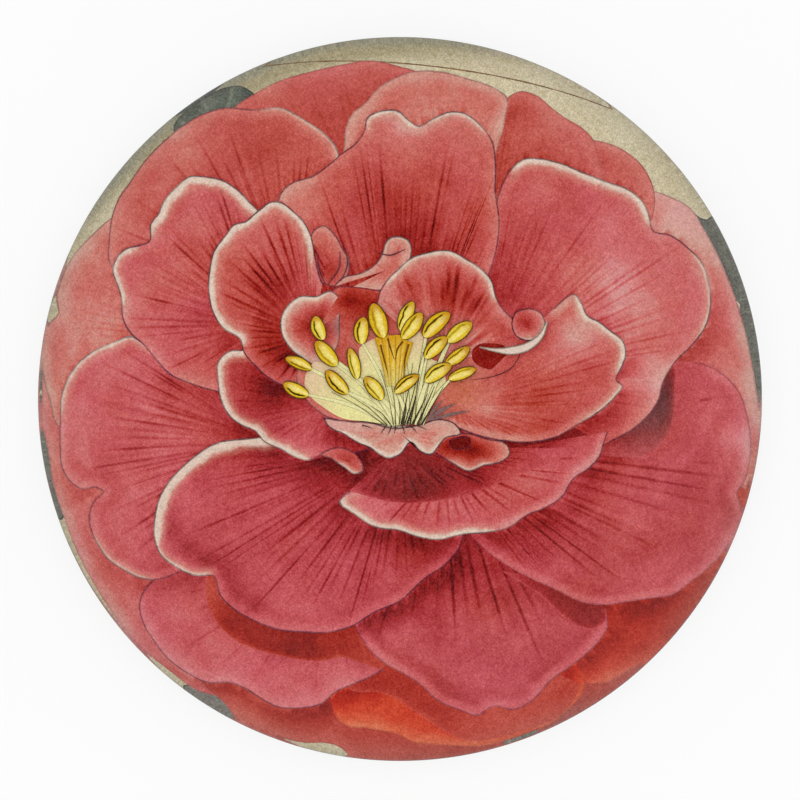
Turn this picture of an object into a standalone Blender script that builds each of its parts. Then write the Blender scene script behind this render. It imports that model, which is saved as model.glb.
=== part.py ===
"""Domed glass paperweight with a printed camellia under the glass.

Three pieces lie on one another, all of them round about the Z axis: a felt pad, a printed
paper disc and a solid glass dome. The origin is the middle of the felt's underside. +Y is the
top of the print. Everything is in metres.
"""

import math

import bmesh
import bpy

MM = 0.001

# Driving dimensions.
OVERALL_DIAMETER = 89.0 * MM
OVERALL_HEIGHT = 38.0 * MM
FELT_DIAMETER = 82.0 * MM
FELT_THICKNESS = 1.0 * MM
PAPER_DIAMETER = 82.0 * MM
PAPER_THICKNESS = 0.25 * MM
GLUE_GAP = 0.3 * MM  # the glue film over the felt, and the one over the paper
FOOT_ROUND = 3.0 * MM  # rounding between the dome's flat foot and its side
SHOULDER_ROUND = 6.0 * MM  # rounding between the dome's side and its crown
SHOULDER_LEVEL = 6.5 * MM  # height of the middle of the shoulder's rounding
FELT_EDGE_ROUND = 0.2 * MM

# Steps of the turned surfaces.
TURN_STEPS = 72
CROWN_STEPS = 14
SHOULDER_STEPS = 3
FOOT_STEPS = 4
FELT_EDGE_STEPS = 2
SHARP_ANGLE = math.radians(40)
POLE_MERGE = 0.01 * MM

PAPER_LEVEL = FELT_THICKNESS + GLUE_GAP
FOOT_LEVEL = PAPER_LEVEL + PAPER_THICKNESS + GLUE_GAP


def clear_scene():
    for item in list(bpy.data.objects):
        bpy.data.objects.remove(item, do_unlink=True)


def principled(name, colour, roughness, transmission=0.0, ior=1.5):
    """A Principled material with one colour, roughness and metallic value for the whole piece."""
    material = bpy.data.materials.new(name)
    material.use_nodes = True
    shader = material.node_tree.nodes["Principled BSDF"]
    shader.inputs["Base Color"].default_value = (*colour, 1.0)
    shader.inputs["Roughness"].default_value = roughness
    shader.inputs["Metallic"].default_value = 0.0
    shader.inputs["Transmission Weight"].default_value = transmission
    shader.inputs["IOR"].default_value = ior
    return material


def shade_round(mesh):
    mesh.shade_smooth()
    mesh.set_sharp_from_angle(angle=SHARP_ANGLE)


def arc(centre_x, centre_z, radius, start, end, steps):
    """Points of an arc, first and last included, with angles measured from +Z towards +X."""
    angles = [start + (end - start) * step / steps for step in range(steps + 1)]
    return [(centre_x + radius * math.sin(a), centre_z + radius * math.cos(a)) for a in angles]


def dome_profile():
    """The dome's half section from its crown, down its side, to the middle of its foot.

    The crown is an arc about the axis. It meets the shoulder, a smaller arc inside it, where
    the two share a tangent: the distance between their centres is the difference of their radii.
    """
    shoulder_x = OVERALL_DIAMETER / 2 - SHOULDER_ROUND
    rise = OVERALL_HEIGHT - SHOULDER_LEVEL
    crown_radius = (shoulder_x**2 + rise**2 - SHOULDER_ROUND**2) / (2 * (rise - SHOULDER_ROUND))
    crown_centre = OVERALL_HEIGHT - crown_radius
    meeting = math.atan2(shoulder_x, SHOULDER_LEVEL - crown_centre)
    side = math.pi / 2
    crown = arc(0, crown_centre, crown_radius, 0, meeting, CROWN_STEPS)
    shoulder = arc(shoulder_x, SHOULDER_LEVEL, SHOULDER_ROUND, meeting, side, SHOULDER_STEPS)
    foot_x = OVERALL_DIAMETER / 2 - FOOT_ROUND
    foot = arc(foot_x, FOOT_LEVEL + FOOT_ROUND, FOOT_ROUND, side, math.pi, FOOT_STEPS)
    return crown + shoulder[1:] + foot + [(0, FOOT_LEVEL)]


def glass_dome():
    """The solid dome, its half section turned once about the axis by a Screw modifier."""
    points = [(x, 0, z) for x, z in dome_profile()]
    edges = [(i, i + 1) for i in range(len(points) - 1)]
    mesh = bpy.data.meshes.new("glass_dome")
    mesh.from_pydata(points, edges, [])
    dome = bpy.data.objects.new("glass_dome", mesh)
    bpy.context.scene.collection.objects.link(dome)
    turn = dome.modifiers.new("turn", "SCREW")
    turn.axis = "Z"
    turn.angle = 2 * math.pi
    turn.steps = TURN_STEPS
    turn.render_steps = TURN_STEPS
    turn.use_merge_vertices = True
    turn.merge_threshold = POLE_MERGE
    turn.use_smooth_shade = True
    dome.data.materials.append(principled("clear_glass", (0.97, 0.98, 0.97), 0.01, transmission=1.0))
    return dome


def disc(name, diameter, thickness, level, material):
    """A flat round piece lying on the given level."""
    mesh = bpy.data.meshes.new(name)
    build = bmesh.new()
    bmesh.ops.create_cone(
        build,
        cap_ends=True,
        cap_tris=False,
        segments=TURN_STEPS,
        radius1=diameter / 2,
        radius2=diameter / 2,
        depth=thickness,
    )
    bmesh.ops.translate(build, verts=build.verts, vec=(0, 0, thickness / 2))
    build.to_mesh(mesh)
    build.free()
    shade_round(mesh)
    piece = bpy.data.objects.new(name, mesh)
    piece.location.z = level
    bpy.context.scene.collection.objects.link(piece)
    piece.data.materials.append(material)
    return piece


def printed_paper():
    """The print on its paper, seen through the glass that is glued over it."""
    coral = principled("printed_coral", (0.58, 0.12, 0.12), 0.7)
    return disc("printed_paper", PAPER_DIAMETER, PAPER_THICKNESS, PAPER_LEVEL, coral)


def felt_pad():
    """The pad that the paperweight stands on, with its cut edges a little worn."""
    green = principled("green_felt", (0.05, 0.09, 0.06), 0.95)
    pad = disc("felt_pad", FELT_DIAMETER, FELT_THICKNESS, 0, green)
    edge = pad.modifiers.new("worn_edge", "BEVEL")
    edge.width = FELT_EDGE_ROUND
    edge.segments = FELT_EDGE_STEPS
    edge.limit_method = "ANGLE"
    edge.angle_limit = SHARP_ANGLE
    return pad


clear_scene()
felt_pad()
printed_paper()
glass_dome()
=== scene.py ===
"""Looks of a domed glass paperweight: the glass, the camellia print glued under it, the felt."""

import math

import bpy
import numpy as np
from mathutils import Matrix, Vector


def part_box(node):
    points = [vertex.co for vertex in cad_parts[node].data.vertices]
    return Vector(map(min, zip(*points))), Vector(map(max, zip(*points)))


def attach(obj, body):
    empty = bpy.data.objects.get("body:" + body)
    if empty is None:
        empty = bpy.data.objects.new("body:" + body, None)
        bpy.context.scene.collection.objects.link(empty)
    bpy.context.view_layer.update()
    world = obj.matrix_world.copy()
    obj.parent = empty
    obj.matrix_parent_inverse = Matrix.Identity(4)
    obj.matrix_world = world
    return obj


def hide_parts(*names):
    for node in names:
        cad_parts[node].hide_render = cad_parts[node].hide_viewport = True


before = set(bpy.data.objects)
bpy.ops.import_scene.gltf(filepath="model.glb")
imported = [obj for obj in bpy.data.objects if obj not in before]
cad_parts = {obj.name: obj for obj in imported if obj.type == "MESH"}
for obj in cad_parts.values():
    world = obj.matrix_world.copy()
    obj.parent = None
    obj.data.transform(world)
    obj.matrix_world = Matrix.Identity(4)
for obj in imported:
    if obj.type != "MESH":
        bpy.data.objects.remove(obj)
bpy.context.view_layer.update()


# ---- The glass dome --------------------------------------------------------------------------
# One solid lump of clear pressed glass, polished all over. Its crown is a single arc, which
# rolls over a tight shoulder into the side. Its flat foot is glued down on the print, with no
# air left between them.

GLASS_REFRACTION = 1.5
SHOULDER_ROUND = 0.006
SHOULDER_LEVEL = 0.0065
FOOT_ROUND = 0.003
FOOT_SINK = 0.00005  # how far the foot's clear glue reaches below the paper's face
DOME_TURNS = 288
CROWN_RINGS, SHOULDER_RINGS, FOOT_RINGS, FLAT_RINGS = 90, 16, 14, 8
QUARTER = math.pi / 2

dome_low, dome_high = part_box("glass_dome")
paper_low, paper_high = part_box("printed_paper")
dome_radius = (dome_high.x - dome_low.x) / 2
foot_level = paper_high.z - FOOT_SINK
shoulder_reach = dome_radius - SHOULDER_ROUND
crown_rise = dome_high.z - SHOULDER_LEVEL
crown_radius = (shoulder_reach**2 + crown_rise**2 - SHOULDER_ROUND**2) / (
    2 * (crown_rise - SHOULDER_ROUND)
)
crown_middle = dome_high.z - crown_radius
crown_end = math.atan2(shoulder_reach, SHOULDER_LEVEL - crown_middle)


def upper_skin(lean):
    """Reach from the axis and height of the glass where it leans by that angle.

    Each is the arc's middle plus the arc's radius times the sine or the cosine of the lean. The
    crown's arc is used up to where the shoulder's arc touches it, and the shoulder's from there.
    """
    on_crown = lean <= crown_end
    arc = np.where(on_crown, crown_radius, SHOULDER_ROUND)
    reach = np.where(on_crown, 0, shoulder_reach) + arc * np.sin(lean)
    height = np.where(on_crown, crown_middle, SHOULDER_LEVEL) + arc * np.cos(lean)
    return reach, height


def turned(name, reach, height, turns):
    """A closed turned body: ring i, spoke j is (reach i * cos, reach i * sin, height i).

    The profile runs from a point on the axis down the outer side to a point on the axis.
    """
    turn = np.linspace(0, 2 * math.pi, turns, endpoint=False)
    rings = np.stack(
        [
            np.outer(reach[1:-1], np.cos(turn)),
            np.outer(reach[1:-1], np.sin(turn)),
            np.repeat(height[1:-1, None], turns, axis=1),
        ],
        axis=2,
    ).reshape(-1, 3)
    points = np.vstack([[0, 0, height[0]], rings, [0, 0, height[-1]]])
    here = np.arange(turns)
    after = (here + 1) % turns
    starts = 1 + turns * np.arange(len(reach) - 3)[:, None]
    walls = np.stack(
        [starts + here, starts + turns + here, starts + turns + after, starts + after], axis=2
    ).reshape(-1, 4)
    last = len(points) - 1
    top = np.stack([np.zeros_like(here), 1 + here, 1 + after], axis=1)
    lowest = last - turns
    bottom = np.stack([np.full_like(here, last), lowest + after, lowest + here], axis=1)
    mesh = bpy.data.meshes.new(name)
    mesh.from_pydata(points.tolist(), [], top.tolist() + walls.tolist() + bottom.tolist())
    mesh.shade_smooth()
    piece = bpy.data.objects.new(name, mesh)
    bpy.context.scene.collection.objects.link(piece)
    return piece


def add(tree, kind, sockets=None, **settings):
    """Adds a node. Settings are its own options; each socket takes a value or another's output."""
    node = tree.nodes.new(kind)
    for key, value in settings.items():
        setattr(node, key, value)
    for key, value in (sockets or {}).items():
        if isinstance(value, bpy.types.NodeSocket):
            tree.links.new(value, node.inputs[key])
        else:
            node.inputs[key].default_value = value
    return node


def reckon(tree, operation, *terms, clamp=False):
    """The output of a Math node on one, two or three values or outputs."""
    node = add(tree, "ShaderNodeMath", dict(enumerate(terms)), operation=operation, use_clamp=clamp)
    return node.outputs[0]


def fade(tree, value, start, end, low=0.0, high=1.0):
    """Goes smoothly from low to high while the value goes from start to end."""
    sockets = {"Value": value, "From Min": start, "From Max": end, "To Min": low, "To Max": high}
    return add(tree, "ShaderNodeMapRange", sockets, interpolation_type="SMOOTHSTEP").outputs[0]


def own_place(tree):
    """The place on the piece, in the piece's own coordinates."""
    return add(tree, "ShaderNodeTexCoord").outputs["Object"]


def noise(tree, scale, detail=2.0, where=None):
    """A Noise Texture on the piece's own coordinates, or on the vector given."""
    where = where or own_place(tree)
    return add(tree, "ShaderNodeTexNoise", {"Vector": where, "Scale": scale, "Detail": detail})


def finish_of(name):
    """A new material with its node tree and its Principled shader."""
    material = bpy.data.materials.new(name)
    material.use_nodes = True
    return material, material.node_tree, material.node_tree.nodes["Principled BSDF"]


def polished_glass():
    """Clear glass with faint polishing haze and pressing ripples, which lets light straight in."""
    material, tree, shader = finish_of("polished_glass")
    shader.inputs["Base Color"].default_value = (0.97, 0.985, 0.975, 1)
    shader.inputs["Transmission Weight"].default_value = 1.0
    shader.inputs["IOR"].default_value = GLASS_REFRACTION
    haze = noise(tree, 55, 3).outputs["Fac"]
    tree.links.new(fade(tree, haze, 0.4, 0.75, 0.0, 0.03), shader.inputs["Roughness"])
    ripple = noise(tree, 28, 1).outputs["Fac"]
    sockets = {"Height": ripple, "Strength": 0.05, "Distance": 0.0002}
    tree.links.new(add(tree, "ShaderNodeBump", sockets).outputs[0], shader.inputs["Normal"])
    ray = add(tree, "ShaderNodeLightPath").outputs
    let_in = reckon(tree, "MAXIMUM", ray["Is Shadow Ray"], ray["Is Diffuse Ray"])
    clear = add(tree, "ShaderNodeBsdfTransparent", {"Color": (0.95, 0.96, 0.95, 1)})
    mixed = add(tree, "ShaderNodeMixShader", {0: let_in, 1: shader.outputs[0], 2: clear.outputs[0]})
    tree.links.new(mixed.outputs[0], tree.nodes["Material Output"].inputs["Surface"])
    return material


upper_lean = np.concatenate(
    [np.linspace(0, crown_end, CROWN_RINGS), np.linspace(crown_end, QUARTER, SHOULDER_RINGS)[1:]]
)
upper_reach, upper_height = upper_skin(upper_lean)
foot_lean = np.linspace(QUARTER, math.pi, FOOT_RINGS)
foot_reach = dome_radius - FOOT_ROUND + FOOT_ROUND * np.sin(foot_lean)
foot_height = foot_level + FOOT_ROUND + FOOT_ROUND * np.cos(foot_lean)
flat_reach = np.linspace(foot_reach[-1], 0, FLAT_RINGS)[1:]
dome = turned(
    "polished_dome",
    np.concatenate([upper_reach, foot_reach, flat_reach]),
    np.concatenate([upper_height, foot_height, np.full(len(flat_reach), foot_level)]),
    DOME_TURNS,
)
dome.data.materials.append(polished_glass())
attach(dome, "root")
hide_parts("glass_dome")


# ---- The printed sheet -----------------------------------------------------------------------
# A round of old cream plate paper, cut from a flower print and glued face up under the glass.
# The paper has a painted grey-olive shade towards its edge, for the dimming seen through the
# dome's rim, and it keeps a piece of the thin brown line that framed the plate.

EYE_HEIGHT = 1.25  # how far over the sheet the eye is that looks straight down
SEEN_PER_RADIUS = 100  # the picture is drawn in hundredths of the dome's seen radius
INK_STEP = 0.000003  # each flat of ink lies this much over the one before
PAPER_MARGIN = 0.0001  # ink stops this far inside the paper's edge
SHARP_ANGLE = math.radians(40)  # an edge bent by more than this stays crisp
PAST_RIM = 30.0  # the sight lines are continued this far past the crown's end
sheet_level = paper_high.z
sheet_radius = (paper_high.x - paper_low.x) / 2
sheet_edge = sheet_radius - PAPER_MARGIN


def sight_lines():
    """How far out the eye sees each spot of the glass, and where its sight line lands.

    At the glass a line bends to the angle whose sine is the sine of its old angle over the
    glass's refraction. It then runs straight down to the sheet. Past the crown's end the
    landings go on at the crown's last rate, out to the sheet's edge.
    """
    lean = np.linspace(0, crown_end, 200)
    reach, height = upper_skin(lean)
    from_eye = np.arctan2(reach, EYE_HEIGHT + sheet_level - height)
    bent = np.arcsin(np.sin(lean + from_eye) / GLASS_REFRACTION)
    landing = reach - (height - sheet_level) * np.tan(lean - bent)
    side_reach, side_height = upper_skin(np.linspace(0, QUARTER, 400))
    rim_sight = (side_reach / (EYE_HEIGHT + sheet_level - side_height)).max()
    seen = np.tan(from_eye) / rim_sight * SEEN_PER_RADIUS
    rate = (landing[-1] - landing[-9]) / (seen[-1] - seen[-9])
    seen = np.append(seen, seen[-1] + PAST_RIM)
    return seen, np.append(landing, landing[-1] + rate * PAST_RIM), rim_sight


seen_out, lands_out, rim_sight = sight_lines()


def down_to_sheet(seen):
    """Carries points of the picture, as seen from above, down their sight lines to the sheet."""
    out = np.hypot(seen[:, 0], seen[:, 1])
    lands = np.minimum(np.interp(out, seen_out, lands_out), sheet_edge)
    return seen * (lands / np.maximum(out, 1e-9))[:, None]


def times(tree, *factors):
    """The product of two values or outputs."""
    return reckon(tree, "MULTIPLY", *factors)


def vector(tree, operation, *terms, **named):
    """The output of a Vector Math node."""
    node = add(tree, "ShaderNodeVectorMath", {**dict(enumerate(terms)), **named}, operation=operation)
    return node.outputs["Value" if operation == "LENGTH" else "Vector"]


def mix(tree, amount, first, second):
    """A colour between two colours or outputs."""
    node = add(tree, "ShaderNodeMix", {0: amount, 6: first, 7: second}, data_type="RGBA")
    return node.outputs[2]


def ink(red, green, blue):
    """A colour given as it looks, in 255ths, made into the linear one that shaders take."""
    seen = np.array([red, green, blue]) / 255
    return (*np.where(seen < 0.04045, seen / 12.92, ((seen + 0.055) / 1.055) ** 2.4), 1.0)


def old_print_group():
    """Node group: an old print's fine grain, with a painted shade that dulls it towards its edge.

    The place is stretched by the middle's stretch less a loss times the distance squared, so that
    the grain looks even through the dome. The grain is added between a gamma and its inverse,
    which makes it show alike in dark and in pale inks.
    """
    middle_stretch, stretch_loss, gamma, darkest = 1.32, 137.0, 0.45, 0.01
    group = bpy.data.node_groups.new("old_print", "ShaderNodeTree")
    group.interface.new_socket("Color", in_out="INPUT", socket_type="NodeSocketColor")
    group.interface.new_socket("Grain", in_out="INPUT", socket_type="NodeSocketFloat")
    group.interface.new_socket("Color", in_out="OUTPUT", socket_type="NodeSocketColor")
    given = group.nodes.new("NodeGroupInput").outputs
    place = own_place(group)
    out = vector(group, "LENGTH", place)
    stretch = reckon(group, "MULTIPLY_ADD", times(group, out, out), -stretch_loss, middle_stretch)
    seen = vector(group, "SCALE", place, Scale=stretch)
    slanted = add(group, "ShaderNodeMapping", {0: seen, "Rotation": (0.6, 0.4, 0.8)}).outputs[0]
    fine = noise(group, 5200, 1, slanted)
    dots = noise(group, 1900, 1, slanted)
    light = reckon(group, "MULTIPLY_ADD", fine.outputs["Fac"], 0.42, -0.21)
    light = reckon(group, "ADD", light, reckon(group, "MULTIPLY_ADD", dots.outputs["Fac"], 0.2, -0.1))
    hue = vector(group, "ADD", fine.outputs["Color"], (-0.5, -0.5, -0.5))
    hue = vector(group, "MULTIPLY", hue, (0.05, 0.07, 0.18))
    both = vector(group, "SCALE", vector(group, "ADD", hue, light), Scale=given["Grain"])
    # Painted shade: the print is greyed near its edge, where the view through the dome's rim is dim.
    rim_dimming_shade = fade(group, out, 0.035, 0.042, 0.0, 0.2)
    toned = mix(group, rim_dimming_shade, given["Color"], ink(128, 114, 98))
    root = add(group, "ShaderNodeGamma", {0: toned, 1: gamma}).outputs[0]
    grained = vector(group, "MAXIMUM", vector(group, "ADD", root, both), (darkest,) * 3)
    back = add(group, "ShaderNodeGamma", {0: grained, 1: 1 / gamma}).outputs[0]
    result = group.nodes.new("NodeGroupOutput")
    group.links.new(back, result.inputs["Color"])
    return group


def printed(tree, shader, colour, grain):
    """Lays grain and painted rim shade over a colour, and gives the shader a print's matt face."""
    over = add(tree, "ShaderNodeGroup", node_tree=old_print)
    tree.links.new(colour, over.inputs["Color"])
    over.inputs["Grain"].default_value = grain
    tree.links.new(over.outputs["Color"], shader.inputs["Base Color"])
    shader.inputs["Roughness"].default_value = 0.8
    shader.inputs["Specular IOR Level"].default_value = 0.0


old_print = old_print_group()


def plate_paper():
    """Cream rag paper, cloudy and a little foxed, with a painted grey-olive shade at its top edge."""
    material, tree, shader = finish_of("plate_paper")
    place = own_place(tree)
    ripple = noise(tree, 60, 2).outputs["Fac"]
    out = reckon(tree, "MULTIPLY_ADD", ripple, 0.004, vector(tree, "LENGTH", place))
    cloud = fade(tree, noise(tree, 140, 3).outputs["Fac"], 0.3, 0.7)
    cream = mix(tree, cloud, ink(206, 190, 156), ink(214, 201, 172))
    fox = fade(tree, noise(tree, 420, 1).outputs["Fac"], 0.68, 0.8, 0.0, 0.35)
    cream = mix(tree, fox, cream, ink(186, 158, 104))
    right, up, _ = add(tree, "ShaderNodeSeparateXYZ", {0: place}).outputs
    # Painted shade: the rim band is darker towards the top and the left and paler to the right, as the
    # dome's rim dims it.
    top = fade(tree, reckon(tree, "MULTIPLY_ADD", right, -0.4, up), 0.0305, 0.0385, 0.15, 1.0)
    olive_rim_shade = times(tree, fade(tree, out, 0.0350, 0.0395), top)
    cream = mix(tree, olive_rim_shade, cream, ink(168, 155, 119))
    # A greyer painted shade on the outermost band of the edge.
    grey = times(tree, fade(tree, out, 0.0395, 0.0425), top)
    cream = mix(tree, grey, cream, ink(150, 146, 124))
    printed(tree, shader, cream, 0.85)
    return material


def flat_ribbon(left, right, level):
    """Corners and faces of a flat ribbon between two lines of as many points each."""
    count = len(left)
    points = np.vstack([right, left])
    points = np.column_stack([points, np.full(2 * count, level)])
    step = np.arange(count - 1)
    faces = np.stack([step, step + 1, step + 1 + count, step + count], axis=1)
    return points, faces


def inked(name, points, faces, material):
    """A flat printed shape as a mesh of its own."""
    mesh = bpy.data.meshes.new(name)
    mesh.from_pydata(np.asarray(points).tolist(), [], [list(face) for face in faces])
    mesh.materials.append(material)
    corners = np.empty(len(mesh.loops), int)
    mesh.loops.foreach_get("vertex_index", corners)
    flat_map = np.asarray(points)[corners, :2] / (2 * sheet_radius) + 0.5
    mesh.uv_layers.new(name="OFBake").data.foreach_set("uv", flat_map.ravel())
    piece = bpy.data.objects.new(name, mesh)
    bpy.context.scene.collection.objects.link(piece)
    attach(piece, "root")
    return piece


def brown_line():
    """The plate's thin brown frame line, printed a little unevenly."""
    material, tree, shader = finish_of("frame_line_ink")
    worn = fade(tree, noise(tree, 900, 2).outputs["Fac"], 0.35, 0.7)
    printed(tree, shader, mix(tree, worn, ink(104, 70, 42), ink(150, 118, 78)), 0.6)
    return material


sheet = turned(
    "plate_sheet",
    np.array([0, sheet_radius * 0.5, sheet_radius, sheet_radius, 0]),
    np.array([sheet_level, sheet_level, sheet_level, paper_low.z, paper_low.z]),
    DOME_TURNS,
)
sheet.data.set_sharp_from_angle(angle=SHARP_ANGLE)
sheet.data.materials.append(plate_paper())
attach(sheet, "root")
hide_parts("printed_paper")

FRAME_LINE_WIDTH = 0.00022
FRAME_LINE_LAYER = 6  # it is printed over the leaves
line_start, line_end = np.array([-0.0161, 0.0373]), np.array([0.0249, 0.0322])
line_run = np.linspace(0, 1, 40)[:, None]
line_path = line_start * (1 - line_run) + line_end * line_run
line_half = FRAME_LINE_WIDTH / 2 * (1 + 0.2 * np.sin(line_run * 37))
line_side = np.array([0.123, 0.992]) * line_half  # square across the line
line_points, line_faces = flat_ribbon(
    line_path + line_side, line_path - line_side, sheet_level + INK_STEP * FRAME_LINE_LAYER
)
inked("frame_line", line_points, line_faces, brown_line())


# ---- The camellia's leaves -------------------------------------------------------------------
# A few dull green leaves show past the flower at the print's edge. They are printed first, as
# one flat grey-green wash with lighter veins, and the sheet was cut straight through them.

RIM_CROWDING = 1.7  # how much closer a shape's rings lie near its outline
LEAF_ACROSS, LEAF_ALONG = 60, 10  # points along a leaf's outline, and rings out to it


def curve_through(points, count):
    """Evenly spaced points on a smooth curve through the given ones, with their places.

    Between two given points the curve is a cubic, whose slope at each of them is the one that
    its neighbours give. A place counts in given points: 2.5 is halfway from the third on.
    """
    knots = np.array(points, float)
    lengths = np.hypot(*np.diff(knots, axis=0).T)
    run = np.concatenate([[0], np.cumsum(lengths)])
    slope = np.gradient(knots, run, axis=0)
    at = np.linspace(0, run[-1], count)
    k = np.clip(np.searchsorted(run, at, side="right") - 1, 0, len(lengths) - 1)
    span = lengths[k][:, None]
    s = ((at - run[k]) / lengths[k])[:, None]
    leaving = (2 * s**3 - 3 * s**2 + 1) * knots[k] + (s**3 - 2 * s**2 + s) * span * slope[k]
    arriving = (3 * s**2 - 2 * s**3) * knots[k + 1] + (s**3 - s**2) * span * slope[k + 1]
    return leaving + arriving, k + s[:, 0]


def away_from(line, points):
    """For each point, the vector to it from the nearest spot on the line."""
    starts = line[:-1]
    runs = np.diff(line, axis=0)
    offset = points[:, None, :] - starts[None]
    share = (offset * runs).sum(axis=2) / np.maximum((runs**2).sum(axis=1), 1e-12)
    apart = offset - np.clip(share, 0, 1)[:, :, None] * runs
    nearest = (apart**2).sum(axis=2).argmin(axis=1)
    return apart[np.arange(len(points)), nearest]


def fan(rim, base, rings):
    """Points of a flat patch: its base, then rings that grow from the base out to the rim.

    A ring at share t has the points base + (rim - base) * t. The share is one minus the unused
    rest to a power, so that the rings crowd together near the rim.
    """
    share = 1 - (1 - np.linspace(0, 1, rings + 1)[1:]) ** RIM_CROWDING
    spread = base + (rim[None] - base) * share[:, None, None]
    points = np.vstack([base[None], spread.reshape(-1, 2)])
    count = len(rim)
    step = np.arange(count - 1)
    tip = np.stack([np.zeros_like(step), 1 + step, 2 + step], axis=1)
    row = 1 + count * np.arange(rings - 1)[:, None]
    rest = np.stack([row + step, row + count + step, row + count + step + 1, row + step + 1], axis=2)
    share_all = np.concatenate([[0], np.repeat(share, count)])
    return points, share_all, tip.tolist() + rest.reshape(-1, 4).tolist()


def counterclockwise(rim, base):
    """Whether the rim runs counterclockwise round the base."""
    spokes, runs = (rim - base)[:-1], np.diff(rim, axis=0)
    return (spokes[:, 0] * runs[:, 1] - spokes[:, 1] * runs[:, 0]).sum() > 0


def carried(tree, name):
    """The three values that each point carries under that name."""
    source = add(tree, "ShaderNodeAttribute", attribute_name=name).outputs["Vector"]
    return add(tree, "ShaderNodeSeparateXYZ", {0: source}).outputs


def flat_inks(name, patches, material, first_step):
    """One piece from patches of ink, each a step over the one before it.

    A patch holds its points as seen from above, its faces, and its values for the material.
    """
    counts = [len(patch["points"]) for patch in patches]
    offsets = np.cumsum([0] + counts)
    levels = sheet_level + INK_STEP * (first_step + np.arange(len(patches)))
    seen = np.vstack([patch["points"] for patch in patches])
    points = np.column_stack([down_to_sheet(seen), np.repeat(levels, counts)])
    faces = [
        [corner + int(offset) for corner in face]
        for patch, offset in zip(patches, offsets)
        for face in patch["faces"]
    ]
    piece = inked(name, points, faces, material)
    for key in patches[0]["values"]:
        values = np.concatenate([patch["values"][key] for patch in patches])
        layer = piece.data.attributes.new(key, "FLOAT_VECTOR", "POINT")
        layer.data.foreach_set("vector", values.ravel())


def leaf_paint():
    """Grey-green leaf ink with paler veins and a darker rim."""
    material, tree, shader = finish_of("leaf_inks")
    place, inward, brown = carried(tree, "leaf_place")
    cloud = fade(tree, noise(tree, 300, 3).outputs["Fac"], 0.3, 0.7)
    green = mix(tree, cloud, ink(66, 74, 66), ink(98, 104, 92))
    green = mix(tree, brown, green, ink(118, 112, 106))
    wave = reckon(tree, "SINE", times(tree, place, 34.0))
    green = mix(tree, fade(tree, wave, 0.8, 1.0, 0.0, 0.35), green, ink(140, 142, 122))
    green = mix(tree, fade(tree, inward, 0.7, 0.1, 0.0, 0.7), green, ink(44, 50, 48))
    printed(tree, shader, green, 0.8)
    return material


# Each leaf's middle, how brown it is, and its outline.
leaves = []
for leaf_base, leaf_brown, leaf_rim in (
    ((-50, 68), 0.0, [(-60, 68), (-62.5, 75.5), (-58, 80.5), (-53.5, 83.5), (-48.5, 86), (-44, 86.5),
                      (-40.5, 84.5), (-38, 81), (-40, 72)]),
    ((94, 26), 0.4, [(75, 46), (77.5, 50), (81, 51.5), (83, 50), (84.5, 49.5), (86.5, 51), (92.5, 50.5),
                      (110.5, 27.5), (110.5, -6), (97, -7), (88, 0)]),
    ((-96, -12), 0.5, [(-102, 16.5), (-99, 13.5), (-95, 2.5), (-94, -11.5), (-94, -20), (-93, -27),
                       (-93, -33), (-96, -36), (-104.5, -11.5), (-102, 14)]),
    ((-52, -84), 1.0, [(-60, -79), (-52, -79), (-46, -83), (-44, -89), (-49.5, -91), (-56.5, -84.5),
                       (-60, -79)]),
    ((36, -95), 0.8, [(20, -94), (30, -91), (40, -88), (50, -84), (62, -84), (52, -93), (40, -99),
                      (28, -103), (18, -104), (20, -94)]),
):
    leaf_base = np.array(leaf_base, float)
    leaf_edge, _ = curve_through(leaf_rim, LEAF_ACROSS)
    if not counterclockwise(leaf_edge, leaf_base):
        leaf_edge = leaf_edge[::-1]
    leaf_points, _, leaf_faces = fan(leaf_edge, leaf_base, LEAF_ALONG)
    leaf_inward = np.hypot(*away_from(leaf_edge, leaf_points).T)
    leaf_turn = np.concatenate([[0.5], np.tile(np.linspace(0, 1, LEAF_ACROSS), LEAF_ALONG)])
    leaf_place = np.column_stack([leaf_turn, leaf_inward, np.full(len(leaf_turn), leaf_brown)])
    leaves.append({"points": leaf_points, "faces": leaf_faces, "values": {"leaf_place": leaf_place}})
flat_inks("camellia_leaves", leaves, leaf_paint(), 1)


# ---- The camellia's petals -------------------------------------------------------------------
# The flower is printed in flat washes of coral and rose, one petal over another from the back
# to the middle. Each has fine carmine veins that run out from its base, a thin dark outline,
# and on the front petals a cream rim where the bare paper shows.

PETAL_STEPS = 90, 20  # points along a petal's outline, and rings out to it from its base
SMALL_STEPS = 48, 12  # the same for the small petals
CLEAR_OF_EDGE = 9.0  # so far from its outline a petal has neither a paler edge nor a band
PALE_WASH = 0.45  # the wash that a painted shade falls to at its edge
SOFT_EDGE = 0.5  # about how wide that fall is
SHADOW_WAY = np.array([0.35, -0.94])  # painted shadows fall down and a little to the right
SHADOW_REACH, SHADOW_GROWTH = 3.5, 5.0  # a shadow's reach, and how much a dark one adds to it
ALL_ROUND = 0.12  # the share of a shadow that falls on every side
FIRST_PETAL_LAYER = 6
laid = []  # every petal, the hindmost first


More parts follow.
